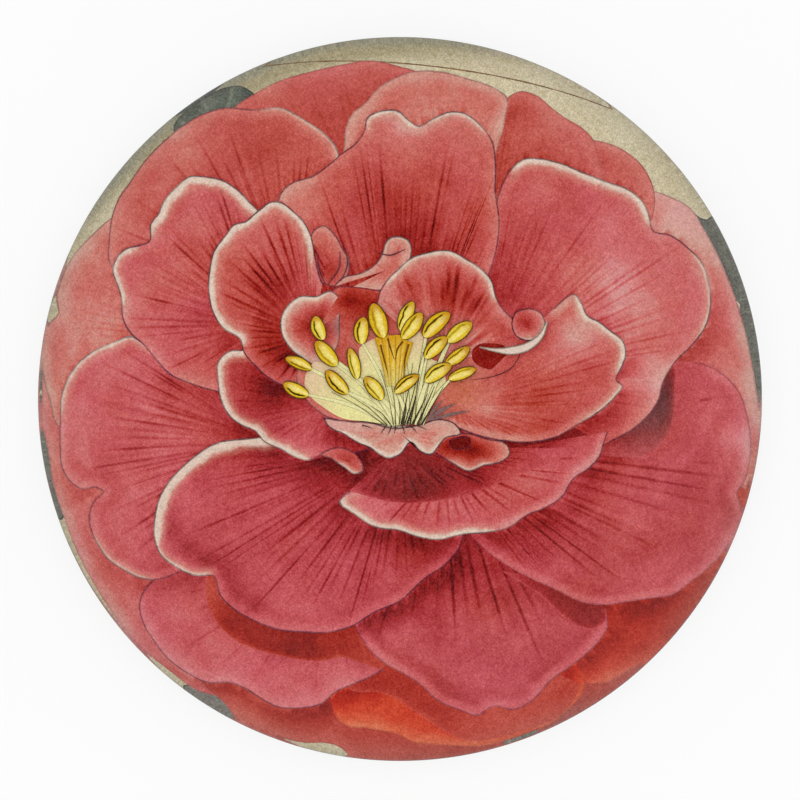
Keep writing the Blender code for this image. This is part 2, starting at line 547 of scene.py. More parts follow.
def lay_petal(outline, base, wash=0.5, warm=0.7, heart=0.15, veins=0.1, lines=26, bold=1.0, rib=0.0,
              drawn=0.85, shade=0.0, small=False, rim=(), spots=(), glows=()):
    """Lays one petal over those before it, and works out its paint at each point.

    The outline goes round the petal from one side of its base to the other, in hundredths of the
    dome's radius. Wash runs from 0, pale, to 1, deep; heart deepens it towards the base, and each
    spot (x, y, size, change) changes it around a place. Warm turns its rose into coral and then
    into orange-red. Glows (x, y, size, amount) are places where yellow paper shows through, or
    grey ink lies where the amount is below nothing. Veins is how dark its lines are, lines how
    many, and bold how thick. Rim is where the cream rim starts and ends, in outline points, with
    its width. Rib is a darker band along the outline. Shade is how dark a shadow the petal throws.
    Drawn is how dark its outline is. Where that is nothing, the wash goes soft towards the edge,
    and has neither a paler edge nor a band.
    """
    base = np.array(base, float)
    across, along = SMALL_STEPS if small else PETAL_STEPS
    edge, place = curve_through(outline, across)
    if not counterclockwise(edge, base):
        edge, place = edge[::-1], place[::-1]
    points, share, faces = fan(edge, base, along)
    place_all = np.concatenate([[place[across // 2]], np.tile(place, along)])
    turn_all = np.concatenate([[0.5], np.tile(np.linspace(0, 1, across), along)])
    inward = np.hypot(*away_from(edge, points).T)
    inward[1 + across * (along - 1):] = 0
    deep = wash + heart * (1 - share) ** 1.5
    glow = np.zeros(len(points))
    for places, values in ((spots, deep), (glows, glow)):
        for x, y, size, change in places:
            values += change * np.exp(-(((points - (x, y)) ** 2).sum(axis=1)) / size**2)
    if drawn == 0:
        deep -= np.maximum(deep - PALE_WASH, 0) * np.exp(-inward / SOFT_EDGE)
        inward[:] = CLEAR_OF_EDGE
    cream = np.zeros(len(points))
    for start, end, width in rim:
        grown = np.clip(place_all - start, 0, 1) * np.clip(end - place_all, 0, 1)
        cream = np.maximum(cream, np.sqrt(grown) * width)
    length = np.hypot(*np.diff(edge, axis=0).T).sum()
    ones = np.ones(len(points))
    laid.append({
        "points": points, "faces": faces, "edge": edge, "shade": shade, "outlined": drawn > 0,
        "values": {
            "petal_place": np.column_stack([turn_all * lines + 7.3 * len(laid), share,
                                            share * length / lines]),
            "petal_paint": np.column_stack([warm * ones, veins * ones, rib * ones]),
            "petal_rim": np.column_stack([inward, cream, drawn * ones]),
            "petal_wash": np.column_stack([deep, glow, bold * ones]),
        },
    })


def lay_shade(outline, base, **paint):
    """Lays a painted shade: a wash with no outline, which throws no shadow and takes none."""
    lay_petal(outline, base, heart=0.0, drawn=0.0, shade=0.0, **paint)


def throw_shadows():
    """Deepens each petal's wash beside the petals laid over it.

    The change falls off with the square of the distance over the shadow's reach, and is largest
    where the way from the upper petal's edge is the way that shadows fall. Where several petals
    throw a shadow on one spot, the darkest of them counts.
    """
    for number, lower in enumerate(laid):
        if not lower["outlined"]:
            continue
        darkest = np.zeros(len(lower["points"]))
        for upper in laid[number + 1:]:
            if upper["shade"] == 0:
                continue
            reach = SHADOW_REACH + SHADOW_GROWTH * upper["shade"]
            edge = upper["edge"][::2]
            low, high = edge.min(axis=0) - 2 * reach, edge.max(axis=0) + 2 * reach
            near = np.all((lower["points"] > low) & (lower["points"] < high), axis=1)
            if not near.any():
                continue
            apart = away_from(edge, lower["points"][near])
            distance = np.maximum(np.hypot(*apart.T), 1e-6)
            one_way = (1 - ALL_ROUND) * (apart @ SHADOW_WAY) / distance
            facing = np.clip(ALL_ROUND + one_way, 0, 1)
            thrown = upper["shade"] * facing * np.exp(-((distance / reach) ** 2))
            darkest[near] = np.maximum(darkest[near], thrown)
        lower["values"]["petal_wash"][:, 0] += darkest


def centred(tree, value):
    """A value that runs from 0 to 1, moved down to run from -0.5 to 0.5."""
    return reckon(tree, "SUBTRACT", value, 0.5)


def petal_paint():
    """The petals' inks: washes, veins, cream rims and outlines, from what each point carries."""
    material, tree, shader = finish_of("petal_inks")
    place, share, spacing = carried(tree, "petal_place")
    warm, veins, rib = carried(tree, "petal_paint")
    inward, cream, outline = carried(tree, "petal_rim")
    deep, glow, bold = carried(tree, "petal_wash")
    spacing = reckon(tree, "DIVIDE", spacing, bold)
    patch = noise(tree, 130, 2).outputs["Fac"]
    cloud = noise(tree, 330, 3).outputs["Fac"]
    waver = noise(tree, 900, 2).outputs["Fac"]

    cell = add(tree, "ShaderNodeTexVoronoi", {"W": place, "Scale": 1.0}, voronoi_dimensions="1D")
    per_line = add(tree, "ShaderNodeSeparateColor", {0: cell.outputs["Color"]}).outputs
    apart = times(tree, cell.outputs["Distance"], spacing)
    apart = reckon(tree, "MULTIPLY_ADD", centred(tree, waver), 0.35, apart)
    line = fade(tree, apart, 0.62, 0.05)
    line = times(tree, line, fade(tree, spacing, 0.8, 2.3))
    line = times(tree, line, fade(tree, share, 0.1, 0.3))
    ends = reckon(tree, "MULTIPLY_ADD", per_line[0], 0.32, 0.7)
    line = times(tree, line, fade(tree, reckon(tree, "SUBTRACT", share, ends), 0.02, -0.22))
    line = times(tree, line, reckon(tree, "MULTIPLY_ADD", per_line[1], 0.7, 0.4))
    line = times(tree, line, fade(tree, cloud, 0.25, 0.6, 0.35, 1.0))
    streak_place = add(tree, "ShaderNodeCombineXYZ", {0: place, 1: times(tree, share, 1.5)})
    streak = noise(tree, 1.1, 2, streak_place.outputs[0]).outputs["Fac"]
    streak = times(tree, centred(tree, streak), fade(tree, share, 1.0, 0.5))
    streak = times(tree, streak, fade(tree, share, 0.05, 0.35))
    vein = reckon(tree, "MULTIPLY_ADD", streak, 0.7, times(tree, line, 0.5))
    vein = times(tree, vein, fade(tree, deep, 0.45, 1.0, 1.0, 0.35))
    deep = reckon(tree, "MULTIPLY_ADD", vein, veins, deep)
    deep = reckon(tree, "MULTIPLY_ADD", centred(tree, cloud), 0.4, deep)
    deep = reckon(tree, "MULTIPLY_ADD", fade(tree, inward, 4.5, 0.3), -0.14, deep)
    band = times(tree, fade(tree, inward, 1.4, 3.0), fade(tree, inward, 7.5, 3.2))
    band = times(tree, band, fade(tree, patch, 0.4, 0.6, 0.3, 1.0))
    deep = reckon(tree, "MULTIPLY_ADD", times(tree, band, rib), 0.26, deep)

    def washes(*colours):
        """The petal's colour by its wash, from pale to deep through seven colours."""
        ramp = add(tree, "ShaderNodeValToRGB", {0: deep})
        while len(ramp.color_ramp.elements) < len(colours):
            ramp.color_ramp.elements.new(0.5)
        steps = (0.0, 0.22, 0.4, 0.58, 0.74, 0.87, 1.0)
        for element, at, colour in zip(ramp.color_ramp.elements, steps, colours):
            element.position = at
            element.color = ink(*colour)
        return ramp.outputs[0]

    rose = washes((220, 152, 154), (212, 112, 118), (201, 87, 95), (180, 62, 71),
                  (160, 42, 48), (134, 32, 34), (96, 20, 24))
    coral = washes((212, 162, 146), (205, 112, 100), (194, 84, 74), (180, 64, 52),
                   (164, 42, 30), (144, 28, 20), (108, 18, 14))
    fiery = washes((226, 150, 110), (216, 100, 66), (206, 64, 34), (184, 36, 12),
                   (162, 24, 6), (136, 18, 6), (100, 12, 6))
    warm = reckon(tree, "MULTIPLY_ADD", centred(tree, patch), 1.0, warm)
    colour = mix(tree, fade(tree, warm, 0.0, 1.0), rose, coral)
    colour = mix(tree, fade(tree, warm, 1.0, 2.6), colour, fiery)
    colour = mix(tree, reckon(tree, "MAXIMUM", glow, 0.0, clamp=True), colour, ink(216, 176, 112))
    grey = reckon(tree, "MULTIPLY", glow, -1.0, clamp=True)
    colour = mix(tree, grey, colour, ink(92, 78, 80))

    width = times(tree, cream, reckon(tree, "MULTIPLY_ADD", waver, 0.9, 0.5))
    into = reckon(tree, "SUBTRACT", inward, width)
    shown = fade(tree, cream, 0.1, 0.7)
    tan = times(tree, fade(tree, into, 2.4, -0.4), times(tree, shown, 0.62))
    colour = mix(tree, tan, colour, ink(208, 140, 122))
    pale = times(tree, fade(tree, into, 0.7, -0.8), times(tree, shown, 0.92))
    colour = mix(tree, pale, colour, mix(tree, cloud, ink(232, 214, 196), ink(218, 190, 176)))

    wobble = reckon(tree, "MULTIPLY_ADD", centred(tree, waver), 0.35, inward)
    drawn = times(tree, fade(tree, wobble, 0.55, 0.15), outline)
    drawn = times(tree, drawn, fade(tree, cloud, 0.25, 0.55, 0.55, 1.0))
    colour = mix(tree, drawn, colour, ink(70, 30, 52))
    printed(tree, shader, colour, 0.6)
    return material


# The outer ring, cut by the sheet's edge. The petals are laid from the back to the front.
lay_petal(
    [(-94, 13.5), (-98.3, 8), (-98.9, 1), (-99.2, -6), (-97.7, -12), (-96.8, -17), (-96.2, -22),
     (-95, -26.5), (-92.8, -32.7), (-90.6, -39), (-87.4, -46), (-82.5, -54.5), (-77.3, -62), (-70.2, -70),
     (-66, -73.3), (-62, -76.4), (-58, -79.4), (-55.2, -80.8), (-50, -82), (-40, -79)],
    (-27.5, -19.5), wash=0.28, warm=0.6, heart=0.1, veins=0.2, drawn=0.25
)
lay_petal(
    [(-57.5, -75.5), (-52, -81), (-48.5, -84), (-45, -88.5), (-40, -91), (-33, -93.5), (-26, -95),
     (-21, -95), (-17, -96), (-14, -98.5), (-11, -103), (-4, -104), (6, -104), (17, -103), (26, -99),
     (30, -92)],
    (-5.5, -33.5), wash=0.52, warm=1.3, heart=0.1, veins=0.15, drawn=0.25, spots=[(-40, -86, 8, -0.15)]
)
lay_petal(
    [(34, -84), (38, -91.6), (42.8, -89.4), (48.5, -88), (59.5, -86.5), (70.5, -80.5), (84.5, -69.5),
     (95.5, -55.5), (103, -39), (105, -22.5), (101, -7)],
    (33, -22.5), warm=0.9, heart=0.1, drawn=0.2, glows=[(75, -72, 12, -0.3), (45, -88, 8, -0.25)]
)
lay_petal(
    [(92.5, -11.5), (98.5, -22), (97.5, -33.5), (93, -48.5), (87.5, -57.5), (79.5, -65.5), (69.5, -72),
     (63.5, -75), (56.5, -78.5), (51, -78.5), (45, -76), (38.5, -70.5)],
    (33, -22.5), wash=0.49, warm=1.9, heart=0.1, veins=0.15, drawn=0.3, shade=0.12,
    spots=[(58, -77, 6, -0.1), (70, -62, 8, 0.15), (92, -38, 12, -0.2)]
)
lay_petal(
    [(-20.5, -77.5), (-19.5, -83), (-18, -87.5), (-15.5, -90), (-9, -91), (0, -93), (4, -95), (9, -95.5),
     (18, -96), (23, -96), (30.5, -94), (35.5, -92.2), (42.5, -89.2), (46, -86), (49, -83.5), (51, -79.5),
     (49, -72)],
    (14, -44.5), wash=0.38, warm=2.5, veins=0.15, drawn=0.3, shade=0.15, spots=[(-14, -86, 5, -0.06)]
)

# The crisp shade on it, along the petal in front of it.
lay_shade(
    [(-17, -79), (-11.5, -81), (-6, -81), (-2, -82.4), (3, -85.6), (8, -89), (13.6, -92.4), (20, -94.6),
     (27, -93.6), (35.5, -91.2), (42.5, -88.6), (47, -84.6), (50, -79)],
    (12, -60), wash=0.54, warm=1.6,
    spots=[(-8, -78, 7, 0.2), (2, -81, 6, 0.16), (12, -88, 5, 0.12), (34, -88, 9, -0.08)]
)
lay_petal(
    [(65, 56.5), (69.5, 57.5), (74.5, 56), (80.5, 52.5), (84, 47), (88, 39.5), (93.5, 25.5), (97, 11.5),
     (99, -0.5), (100.5, -14), (95.5, -25)],
    (33, 13.5), wash=0.17, veins=0.25, drawn=0.4, shade=0.1,
    spots=[(78, 48, 10, -0.2), (92, 14, 9, 0.06), (97, 0, 8, -0.12)]
)
lay_petal(
    [(49.5, 71.5), (53.5, 71.5), (56.5, 71), (60.5, 69.5), (66.5, 65), (69.5, 60), (70.5, 56), (69.5, 49.5),
     (63.5, 42.5)],
    (27.5, 27.5), wash=0.36, warm=0.85, heart=0.2, veins=0.2, drawn=0.4, shade=0.1
)
lay_petal(
    [(23.5, 62), (26, 75), (27.5, 80.5), (30, 83.5), (33, 85), (37.5, 84), (42.5, 80), (46, 77.5),
     (49.5, 75.5), (53.5, 71.5), (55, 66), (56, 59), (52.5, 51)],
    (22, 30), wash=0.42, warm=0.85, veins=0.3, drawn=0.3, shade=0.12,
    spots=[(28, 78, 4, 0.2), (44, 74, 8, -0.06)]
)
lay_petal(
    [(-51, 74), (-46.5, 80), (-40, 84.5), (-33, 88), (-24.5, 90.5), (-15.5, 92.5), (-8.5, 93.5), (-0.5, 92),
     (7.5, 89), (12.5, 78.5)],
    (-5.5, 41), wash=0.42, warm=0.8, heart=0.2, veins=0.3, drawn=0.3, shade=0.1, spots=[(-18, 76, 9, 0.1)]
)
lay_petal(
    [(-17, 59), (-15.5, 69.5), (-15, 75), (-13.5, 78.5), (-9.5, 82), (-6, 86), (-2, 88.5), (3.5, 90.5),
     (11, 90.5), (19, 88.5), (26, 86), (29.5, 83.5), (29, 77), (26.5, 67.5)],
    (7, 33), wash=0.2, warm=1.0, veins=0.3, drawn=0.45, shade=0.12, spots=[(22, 85, 6, 0.08)]
)
lay_petal(
    [(-88.5, -8.5), (-93.5, -8.5), (-95.5, -6), (-96.5, -1.5), (-98, 3.5), (-99, 10), (-98.5, 17),
     (-96.5, 21.5), (-94.5, 23.5), (-95, 27.5), (-93, 34.5), (-91, 38.5), (-85.5, 45), (-80.5, 49.5),
     (-75, 53), (-66.5, 48)],
    (-44, 15), wash=0.22, warm=0.8, heart=0.2, veins=0.25, drawn=0.5, shade=0.12,
    spots=[(-82, 20, 8, -0.1)]
)
lay_petal(
    [(-77.5, 33.5), (-80.5, 38), (-80.5, 44), (-79.5, 51), (-77.5, 56), (-75, 59.5), (-70, 66.5),
     (-64.5, 72), (-59.5, 76), (-54, 79), (-48.5, 80.5), (-40, 80), (-33, 80.5), (-26, 77), (-21, 73.5),
     (-17.5, 69.5), (-17, 64), (-22.5, 57.5)],
    (-30.5, 27.5), wash=0.36, warm=0.8, veins=0.65, lines=34, drawn=0.7, shade=0.15, rim=[(11, 16.5, 0.6)],
    spots=[(-38, 68, 10, 0.14), (-72, 46, 9, -0.1), (-60, 70, 8, -0.1)]
)

# The big petals of the middle ring.
lay_petal(
    [(-63, -46.5), (-67.5, -49.5), (-70.5, -52.5), (-72, -56), (-71, -62), (-68, -67), (-64, -72),
     (-58.5, -76), (-53, -78.5), (-47, -78.5), (-43, -80), (-39, -82.5), (-34.5, -85), (-28, -85.5),
     (-22, -84.5), (-17.5, -81), (-12, -78.5), (-6.5, -76), (-4.5, -74.5), (-7, -69.5)],
    (-19.5, -44.5), wash=0.36, warm=0.25, veins=0.45, drawn=0.75, shade=0.4
)

# The painter's crisp crimson shade under the front left petal.
lay_shade(
    [(-53.5, -48.5), (-53.5, -55), (-50.8, -61.5), (-46, -66.4), (-40, -69.2), (-33.1, -71), (-26, -72.2),
     (-20.4, -72.3), (-16.6, -71.4), (-10.2, -73), (-4.8, -74.4), (-3, -72), (0, -60)],
    (-30, -50), wash=0.84, warm=1.4, spots=[(-53.5, -54, 7, -0.34), (-6, -72, 9, -0.26)]
)
lay_petal(
    [(-52, 12), (-60, 13.5), (-66.5, 14), (-70.5, 15.5), (-74.5, 17.5), (-78.5, 16), (-83.5, 14),
     (-88.5, 10.5), (-91.5, 6.5), (-93.5, 1.5), (-94, -6), (-94, -14), (-93.5, -19), (-91, -23), (-88, -25),
     (-84, -24.5), (-82, -25.5), (-84.5, -28), (-86, -32), (-85.5, -36), (-83.5, -40.5), (-80.5, -44.5),
     (-76, -47.5), (-72, -49.5), (-67, -50), (-63.5, -49), (-56.5, -45.5)],
    (-37.5, -11.5), wash=0.32, warm=0.35, heart=0.2, veins=0.75, lines=34, rib=0.35, drawn=0.7, shade=0.3,
    rim=[(3.5, 10, 1.0), (19, 24, 0.6)],
    spots=[(-80, -20, 7, 0.08), (-84, -28, 3, 0.2), (-75, -36, 9, 0.09), (-90, -6, 6, -0.1)]
)
lay_petal(
    [(-14.5, -59), (-12, -64), (-9.5, -68), (-4.5, -73), (0, -75.5), (5, -78.5), (10.5, -83.5), (16.5, -86),
     (22, -87.5), (24.5, -85.5), (27, -85), (30.5, -86), (36.5, -83.5), (41.5, -78), (48.5, -73), (55, -67),
     (57.5, -62.5), (56.5, -58.5), (52, -55)],
    (12, -8), wash=0.49, warm=0.22, veins=0.85, lines=16, bold=1.2, rib=0.6, drawn=0.55, shade=0.4,
    spots=[(22, -50, 9, 0.06), (-4, -68, 8, -0.12)]
)

# The crisp shade on its right corner, under the petal over it.
lay_shade(
    [(28, -47.5), (33, -50.5), (39, -54.5), (45, -60), (49.5, -63), (54, -63.6), (57, -61), (57, -58)],
    (44, -50), wash=0.84, warm=0.3, spots=[(30, -48, 5, -0.2)]
)
lay_petal(
    [(72, 9), (78, 10), (84.5, 9.5), (88.5, 7.5), (93.5, 2.5), (96, -4.5), (97, -11), (96.5, -18.5),
     (95, -23.5), (93, -26), (94, -28.5), (94.5, -32.5), (91, -40), (86, -46), (80.5, -50.5), (74.5, -54.5),
     (70.5, -55), (63.5, -56), (56.5, -57), (51.5, -56.5), (42.5, -52.5), (32, -47.5), (24.5, -42.5),
     (20, -38.5)],
    (8.5, -11.5), wash=0.42, warm=0.3, veins=0.68, lines=32, bold=1.2, rib=0.5, drawn=0.4, shade=0.3,
    spots=[(62, -16, 8, 0.04), (70, -38, 12, 0.08), (38, -40, 8, 0.14), (54, -44, 8, 0.12),
           (94, -12, 5, -0.3), (84, -16, 7, 0.08), (84, -27, 7, 0.1), (79, -38, 7, 0.08),
           (66, -30, 8, -0.05)]
)

# Two crisp shades on the right petal, where the big upper one stands over it.
lay_shade(
    [(73, 11), (78, 10.4), (82.2, 9.6), (82.8, 3), (82.8, -4), (82, -11), (81, -18)],
    (8.5, -11.5), warm=0.3, veins=0.8, lines=10,
    spots=[(80, -18, 6, -0.06), (70, -17, 6, -0.04), (60, -15, 6, -0.04)]
)
lay_shade(
    [(70, 11), (73, 10.4), (75.7, 9), (76, 3), (75.8, -3), (74.5, -8.5), (71.5, -13), (66, -16.5)],
    (8.5, -11.5), wash=0.92, warm=0.3, lines=8,
    spots=[(74, -15, 7, -0.36), (65, -17, 6, -0.36), (58, -16, 5, -0.3)], glows=[(68, -5, 10, -0.45)]
)
lay_petal(
    [(25.5, 44), (27, 56), (28.5, 60), (31, 64), (34.5, 66.5), (38.5, 66.5), (45, 65), (51, 62.5),
     (57.5, 60), (64, 57.5), (67.5, 54), (69, 50.5), (70, 46.5), (74.5, 45.5), (79.5, 42), (83, 38.5),
     (85.5, 32), (86, 26), (84.5, 20), (81, 15), (76, 10), (73, 5), (71.5, -0.5), (65, -8), (57, -12.5)],
    (22, 6), wash=0.35, warm=0.5, heart=0.25, veins=0.5, lines=42, shade=0.45,
    rim=[(3, 11.5, 1.8), (14, 19, 0.7)],
    spots=[(60, 29, 14, -0.32), (64, 45, 7, 0.1), (32, 30, 8, 0.15), (68, 6, 10, -0.24), (44, 50, 9, 0.08)]
)
lay_petal(
    [(-27.5, 30), (-32, 38), (-33.5, 45.5), (-34, 51.5), (-33, 57), (-29.5, 60), (-24.5, 61.5), (-19.5, 65),
     (-16, 68), (-12.5, 70.5), (-10, 74), (-9, 78), (-6, 79.5), (0, 79.5), (2, 77.5), (5, 75.5), (9, 77.5),
     (14, 79.5), (18, 79), (22.5, 75.5), (25.5, 71.5), (26.5, 66), (26.5, 56.5), (27.5, 50.5), (27, 42.5),
     (25, 35.5), (21.5, 27.5)],
    (0, -3), wash=0.38, heart=0.5, veins=1.0, lines=50, drawn=0.9, shade=0.25,
    rim=[(10.5, 15.2, 1.3), (15.5, 19.5, 1.0)],
    spots=[(0, 48, 12, 0.2), (-28, 55, 8, -0.22), (2, 76, 7, -0.26), (15, 76, 5, -0.15),
           (24, 60, 5, -0.08)]
)
lay_petal(
    [(-38, 51), (-41.5, 54.5), (-45, 58), (-49, 60.5), (-54, 61.5), (-58.5, 61.5), (-61, 59.5),
     (-65.5, 54.5), (-67, 51), (-69, 48.5), (-69.5, 43.5), (-72.5, 42.5), (-76, 41.5), (-78.5, 39),
     (-79.5, 35.5), (-78, 31), (-77, 27), (-77, 23.5), (-74.5, 18), (-71, 15), (-68, 11.5), (-64, 7),
     (-57.5, 4), (-50.5, 2), (-44, 1.5)],
    (-38, 20.5), wash=0.34, warm=0.5, heart=0.25, veins=0.85, lines=36, drawn=0.9, shade=0.25,
    rim=[(0, 9.6, 2.2), (11, 16.5, 1.4)],
    spots=[(-74, 26, 6, -0.12), (-55, 19, 8, 0.04), (-46, 12, 6, 0.12)]
)
lay_petal(
    [(-32.5, -8.5), (-38.5, -10.5), (-44, -11), (-50.5, -12), (-56.5, -15.5), (-61, -19.5), (-64.5, -23.5),
     (-67, -28.5), (-68, -33.5), (-68, -38.5), (-66, -43.5), (-62, -46.5), (-56.5, -49), (-51.5, -49),
     (-50, -54), (-45.5, -58.5), (-40, -61.5), (-33, -64), (-27.5, -64.5), (-19, -64.5), (-13.5, -63),
     (-7, -59), (0, -56), (6.5, -50), (13.5, -45), (17, -40), (18, -34)],
    (0, -13), wash=0.48, warm=0.25, heart=0.12, veins=0.8, lines=40, rib=0.35, shade=0.4,
    rim=[(0.5, 9.6, 2.5), (8.5, 13, 0.8)],
    spots=[(-15, -23, 9, 0.14), (-6, -24, 8, 0.12), (4, -38, 7, 0.16), (-28, -56, 9, -0.1),
           (-60, -28, 7, -0.06), (-62, -36, 3, 0.2), (-58.5, -41, 3, 0.26), (-53.5, -44.5, 3, 0.26),
           (-48, -48.5, 3, 0.2), (-45.5, -53.5, 3, 0.22), (-40, -57.5, 3, 0.2), (-33, -60.5, 3, 0.1)]
)

# The hollow at the flower's middle, and the small petals that stand round it.
lay_petal(
    [(57.5, -9), (56.5, -12), (55.5, -15.5), (52, -19.5), (48, -22), (45, -27), (39.5, -30.5), (35.5, -32),
     (30.5, -35.5), (24, -37), (17.5, -37.5), (10.5, -39), (4, -38), (0, -36.5), (-7, -35.5), (-12.5, -32),
     (-17, -28.2), (-15.8, -26.6), (-10, -24.3), (-5.3, -21), (-1, -14), (4, -6), (20, -3), (45, -4)],
    (12, -17), wash=0.27, warm=0.35, veins=0.85, lines=40, rib=0.4, shade=0.34, rim=[(8.5, 16.6, 1.5)],
    spots=[(8, -20, 9, 0.1), (50, -14, 6, -0.08), (24, -33, 5, 0.1), (38, -27, 5, 0.08)]
)

# The crisp dark shade on it, under the lip and the small curled petals.
lay_shade(
    [(-14, -25.4), (-10, -26.6), (-4, -28.2), (2, -28.8), (8, -28.4), (14, -27.6), (20, -26), (27, -23.4),
     (34, -20.6), (42, -17.6), (50, -13.5)],
    (0, -13), wash=0.82, warm=0.25, veins=1.0, lines=24,
    spots=[(46, -15, 10, -0.42), (31, -21, 7, -0.24), (18, -26, 5, -0.1), (-13, -26, 5, -0.2)],
    glows=[(2, -22, 12, -0.1)]
)
lay_petal(
    [(-43.5, 13.5), (-46.5, 13.5), (-48.5, 12.5), (-50.5, 10), (-50.5, 6), (-49.5, -0.5), (-47, -5),
     (-43.5, -7.5), (-40, -9), (-38, -11.5), (-33, -14), (-28, -16.5), (-25, -17), (-22, -15.5),
     (-15, -15.5), (-8.5, -14)],
    (-18, -0.5), warm=0.4, heart=0.05, veins=0.6, lines=24, shade=0.45, rim=[(0, 12, 1.7)],
    spots=[(-38, 1, 7, 0.28), (-24, -10, 7, -0.14)]
)
lay_petal(
    [(-25, 44), (-24, 46.5), (-21, 48), (-18, 45.5), (-16, 42), (-14, 38.5), (-14.5, 34), (-18, 31),
     (-21.5, 32)],
    (-20, 39), wash=0.26, warm=0.85, heart=0.1, veins=0.2, lines=10, drawn=0.8, shade=0.15, small=True,
    spots=[(-20, 35, 4, 0.3)]
)
lay_petal(
    [(-18.5, 31), (-16, 33.6), (-11, 34.8), (-7.2, 37), (-5, 40.2), (-4.1, 43.1), (-3, 44.6), (-0.3, 45),
     (2.5, 43.8), (3.3, 42), (3, 39), (0, 33), (-5.2, 30), (-9.4, 29.8), (-13.8, 30.6)],
    (-4, 35.5), wash=0.14, warm=0.85, heart=0.05, veins=0.2, lines=12, drawn=0.9, shade=0.3, small=True,
    rim=[(4, 9, 0.7)], spots=[(-2, 36, 5, 0.12)]
)
lay_petal(
    [(-21.5, 32), (-22.5, 35), (-23.5, 40), (-24.5, 45), (-26.5, 49), (-29.5, 52), (-33, 54.5), (-36, 54.5),
     (-38, 53), (-40, 51.5), (-43, 49), (-45.5, 48.5), (-48.5, 45), (-51.5, 41), (-52.5, 37), (-53, 30),
     (-52, 24.5), (-49, 19.5), (-44, 16), (-43.5, 13.5), (-40, 9), (-36, 5.5), (-32, 3.5), (-27, 3)],
    (-24, 17.5), wash=0.3, warm=0.65, heart=0.25, veins=1.0, lines=30, drawn=0.95, shade=0.3,
    rim=[(2.5, 18.6, 1.7)], spots=[(-35, 30, 8, 0.26), (-33, 12, 7, 0.4), (-39, 20, 7, 0.12)]
)
lay_petal(
    [(-20.5, 27.5), (-17.5, 31), (-12, 31), (-5.5, 30), (3, 27.5), (11, 26), (25, 19), (33, 15),
     (27.5, -0.5), (11, -7), (-5.5, -7), (-22, -4), (-28.5, 4), (-27, 14), (-24, 21), (-20.5, 27.5)],
    (-2, 10), wash=0.34, warm=0.9, heart=0.0, drawn=0.7,
    spots=[(-13, 28, 5, 0.5), (-4, 26, 5, 0.4), (24, 12, 6, -0.1), (-7, 14, 6, -0.2), (-22, 4, 6, -0.1),
           (10, 24, 7, 0.25), (26, 8, 6, -0.1)], glows=[(17, 1.5, 6, 0.16)]
)
lay_petal(
    [(-6.5, 26), (-5.5, 30), (-3.5, 33), (0, 36.5), (3, 39), (7.5, 40.5), (14, 41), (18, 39), (22.5, 36),
     (25.5, 32.5), (26.5, 28.5), (28, 25.5), (31, 22.5), (36, 18), (37.5, 15), (31, 12.8), (25, 11.5)],
    (12, 10), wash=0.26, heart=0.0, veins=1.7, lines=22, bold=1.7, drawn=0.9, shade=0.25,
    rim=[(1.5, 10.5, 1.2)],
    spots=[(14, 30.5, 5, 0.4), (4, 31, 4, 0.2), (21, 26, 5, 0.25), (6, 17, 6, -0.1), (28, 19, 4, 0.2)]
)
lay_petal(
    [(-17, 28.5), (-19, 30), (-23, 28.5), (-27.5, 28.5), (-31, 26), (-32.8, 23), (-32.8, 18), (-30.5, 14),
     (-27.5, 11.5), (-22, 9), (-17.5, 14), (-16.5, 24)],
    (-23, 19), wash=0.1, warm=0.75, heart=0.2, veins=0.2, lines=14, shade=0.15, small=True,
    rim=[(1, 8.5, 1.5)], spots=[(-26, 20, 3.6, 0.44), (-22, 24, 3.6, 0.4), (-20, 18, 4, 0.4)],
    glows=[(-16.5, 20, 3, -0.5)]
)
lay_petal(
    [(20, 13.6), (21.5, 15), (25, 15.4), (29, 14.5), (30, 11), (27.5, 8.5), (23, 8.6), (20, 11),
     (20, 13.6)],
    (25, 12), wash=1.0, warm=0.9, heart=0.0, veins=0.0, drawn=0.2, small=True
)
lay_petal(
    [(42.5, 25), (44, 26.5), (48.5, 29), (50, 27), (52, 23), (55, 21.5), (57.5, 19.5), (62, 15.5),
     (62.5, 12), (61.5, 9), (60, 5), (61.5, 4), (59.5, 0.5), (56.5, -2.5), (49.5, -7), (43.5, -10.5),
     (36.5, -12), (28, -11.5), (19.5, -9.5), (13.5, -7)],
    (15, -2), wash=0.29, heart=0.0, veins=0.6, rib=0.6, drawn=0.9, shade=0.45,
    rim=[(2, 9.5, 1.5), (10.5, 14, 0.8)],
    spots=[(51, 19, 7, -0.3), (38, 1, 7, 0.2), (44, -5, 8, 0.1), (52, 6, 6, 0.16), (24, -6, 6, -0.16)],
    glows=[(17, 1.5, 6, 0.16)]
)
lay_petal(
    [(35.5, 25.2), (32, 24), (30.8, 20.8), (32, 17.4), (35.4, 16), (39, 17.4), (40.2, 21), (38.8, 24),
     (35.5, 25.2)],
    (35.2, 20.8), wash=0.26, warm=0.75, heart=0.35, veins=0.0, drawn=1.0, shade=0.3, small=True,
    rim=[(3, 6.5, 0.7)], spots=[(33.5, 22.5, 3, 0.3)]
)
lay_petal(
    [(-19, -16.5), (-22, -15.5), (-18.5, -13.5), (-14, -14), (-11, -16.5), (-10.2, -20), (-12.5, -20.8),
     (-15.5, -19), (-19, -16.5)],
    (-15, -17), wash=0.3, heart=0.25, veins=0.0, shade=0.3, small=True, rim=[(5, 8, 0.7)]
)
lay_petal(
    [(9, -14.5), (14, -17.5), (19.5, -20), (23, -18.5), (28, -17.5), (30.5, -15), (29.5, -12.5), (24, -11),
     (19, -9.5), (14.5, -9.5), (10.5, -11), (9, -14.5)],
    (19.5, -14), wash=0.2, warm=0.75, heart=0.3, veins=0.0, shade=0.35, small=True, rim=[(0.5, 4, 0.7)],
    spots=[(22, -15, 4.5, 0.34), (14, -14, 3.5, 0.2)]
)
